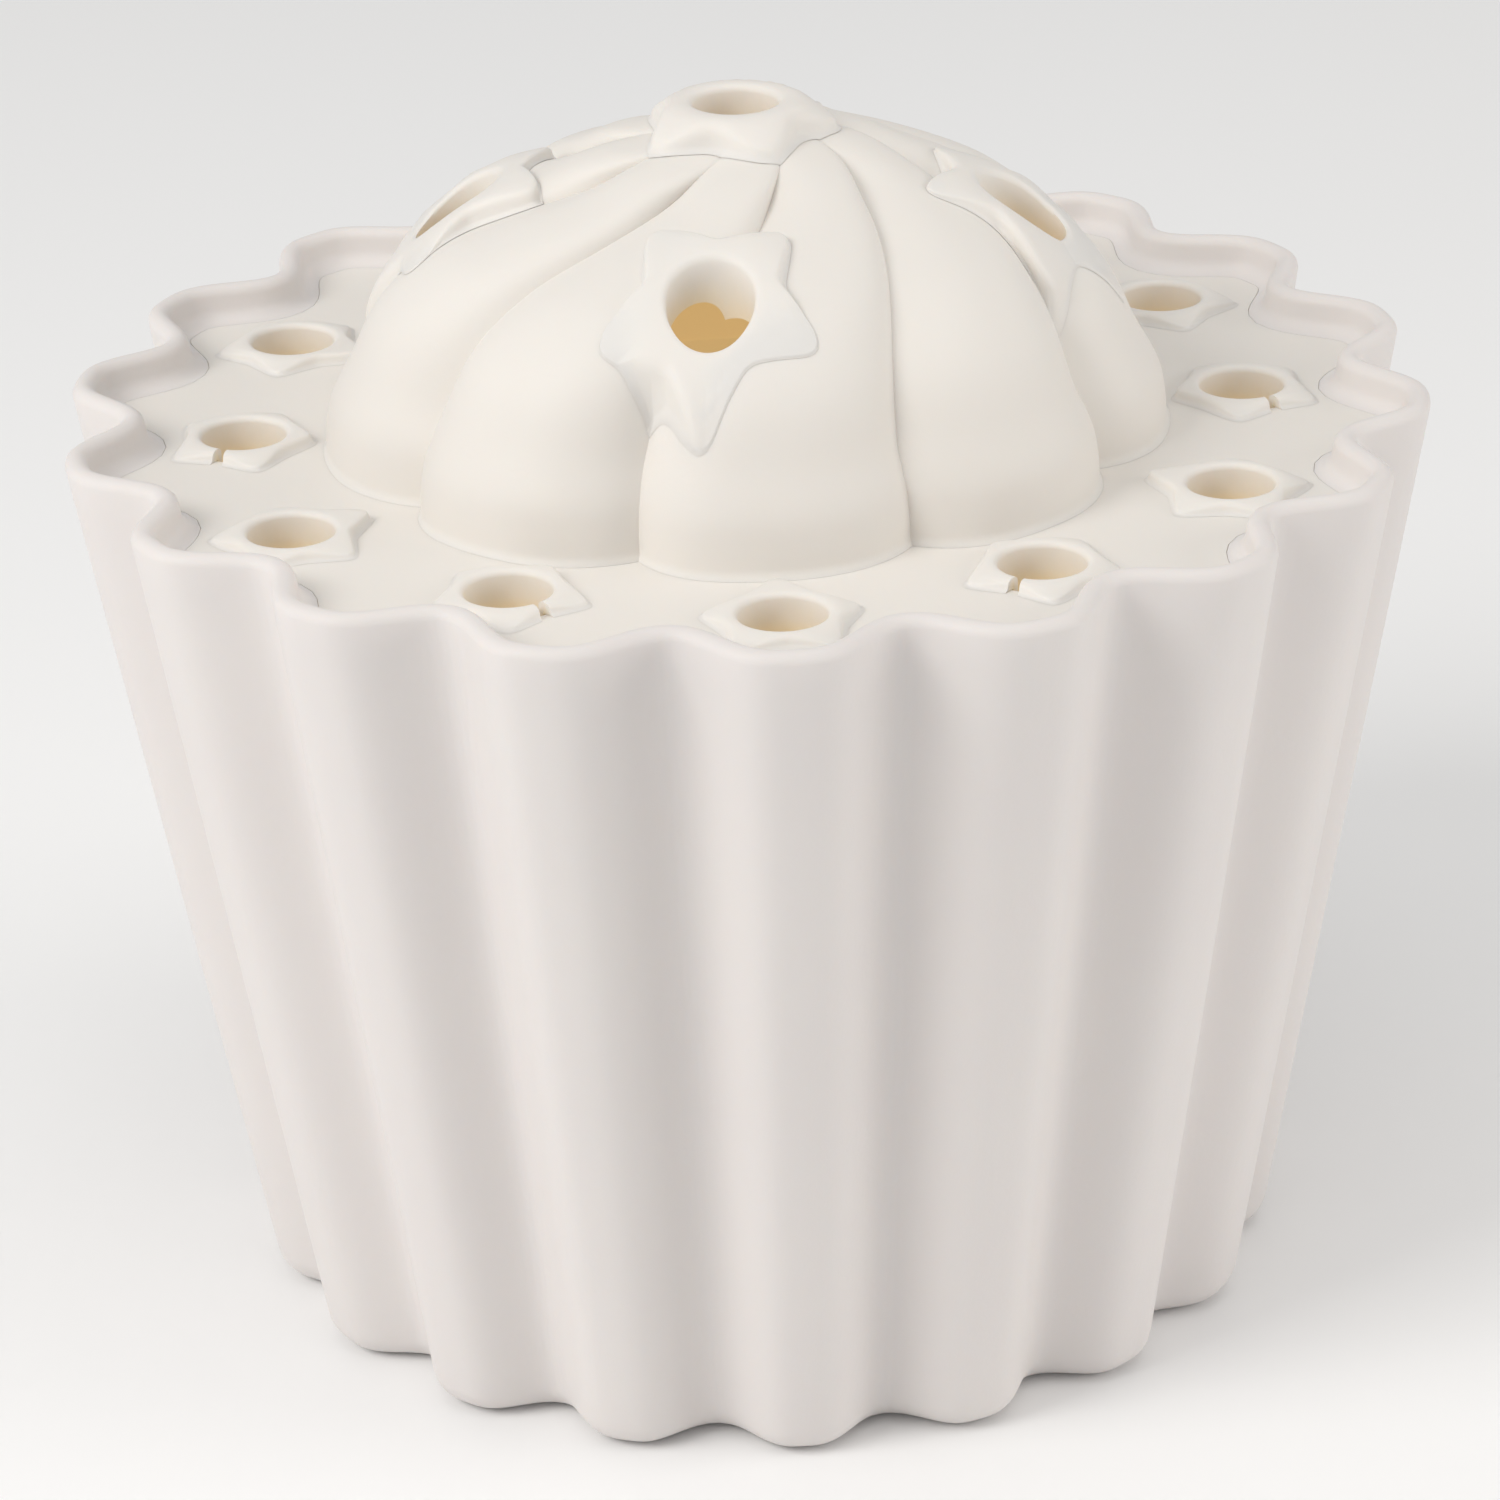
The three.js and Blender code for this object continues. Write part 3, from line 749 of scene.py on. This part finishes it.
def make_collars():
    for index in range(len(RING_HOLES)):
        ring_star(index)
    angles = np.linspace(0, 2 * math.pi, SLOPE_STAR_STEPS, endpoint=False)
    for index, centre in enumerate(DOME_HOLES):
        outward = math.atan2(centre[0], -centre[1])
        outline = star_outline(angles - outward, DOME_STAR_TIP, DOME_STAR_WAIST,
                               DOME_STAR_DOWN_TIP, DOME_STAR_SOFT)
        slope_star(f"dome_star_{index + 1}", centre, outward, outline, DOME_STAR_RAISE, DOME_STAR_TILT,
                   DOME_STAR_WAIST, DOME_STAR_SINK)
    outline = star_outline(angles - APEX_STAR_TURN, APEX_STAR_TIP, APEX_STAR_WAIST, None, APEX_STAR_SOFT)
    slope_star("apex_star", (0, 0), 0.0, outline, APEX_HIGH.z - DECK_TOP - DOME_RISE, 0.0,
               APEX_RING_RADIUS, APEX_STAR_SINK)


# ---------------------------------------------------------------- stage
def make_floor():
    size = FLOOR_HALF_SIZE
    floor = mesh_object(
        "floor",
        [(-size, -size, 0), (size, -size, 0), (size, size, 0), (-size, size, 0)],
        [(0, 1, 2, 3)],
    )
    material = bpy.data.materials.new("floor")
    material.use_nodes = True
    shader = material.node_tree.nodes["Principled BSDF"]
    shader.inputs["Base Color"].default_value = FLOOR_COLOUR
    shader.inputs["Roughness"].default_value = FLOOR_ROUGHNESS
    floor.data.materials.append(material)


def area_light(name, place, size, power, colour):
    data = bpy.data.lights.new(name, "AREA")
    data.shape = "DISK"
    data.size = size
    data.energy = power
    data.color = colour
    light = bpy.data.objects.new(name, data)
    light.location = place
    light.rotation_euler = (Vector(LIGHT_TARGET) - Vector(place)).to_track_quat("-Z", "Y").to_euler()
    bpy.context.scene.collection.objects.link(light)


def make_lights():
    for light in LIGHTS:
        area_light(*light)
    world = bpy.context.scene.world or bpy.data.worlds.new("world")
    bpy.context.scene.world = world
    world.use_nodes = True
    background = world.node_tree.nodes["Background"]
    background.inputs["Color"].default_value = WORLD_COLOUR
    background.inputs["Strength"].default_value = WORLD_STRENGTH


def make_camera():
    data = bpy.data.cameras.new("camera")
    data.sensor_width = CAMERA_SENSOR
    data.lens = CAMERA_LENS
    data.clip_start, data.clip_end = CAMERA_CLIP
    camera = bpy.data.objects.new("camera", data)
    bpy.context.scene.collection.objects.link(camera)
    forward = Vector((
        math.sin(CAMERA_YAW) * math.cos(CAMERA_PITCH),
        math.cos(CAMERA_YAW) * math.cos(CAMERA_PITCH),
        -math.sin(CAMERA_PITCH),
    ))
    right = Vector((math.cos(CAMERA_YAW), -math.sin(CAMERA_YAW), 0))
    up = right.cross(forward)
    turned_right = math.cos(CAMERA_ROLL) * right + math.sin(CAMERA_ROLL) * up
    turned_up = math.cos(CAMERA_ROLL) * up - math.sin(CAMERA_ROLL) * right
    rotation = Matrix((turned_right, turned_up, -forward)).transposed()
    camera.matrix_world = Matrix.Translation((0, -CAMERA_DISTANCE, CAMERA_HEIGHT)) @ rotation.to_4x4()
    bpy.context.scene.camera = camera


make_camera()
make_lights()
make_floor()
make_cup()
make_deck()
make_dome()
make_collars()
bpy.context.scene.view_settings.view_transform = "Standard"
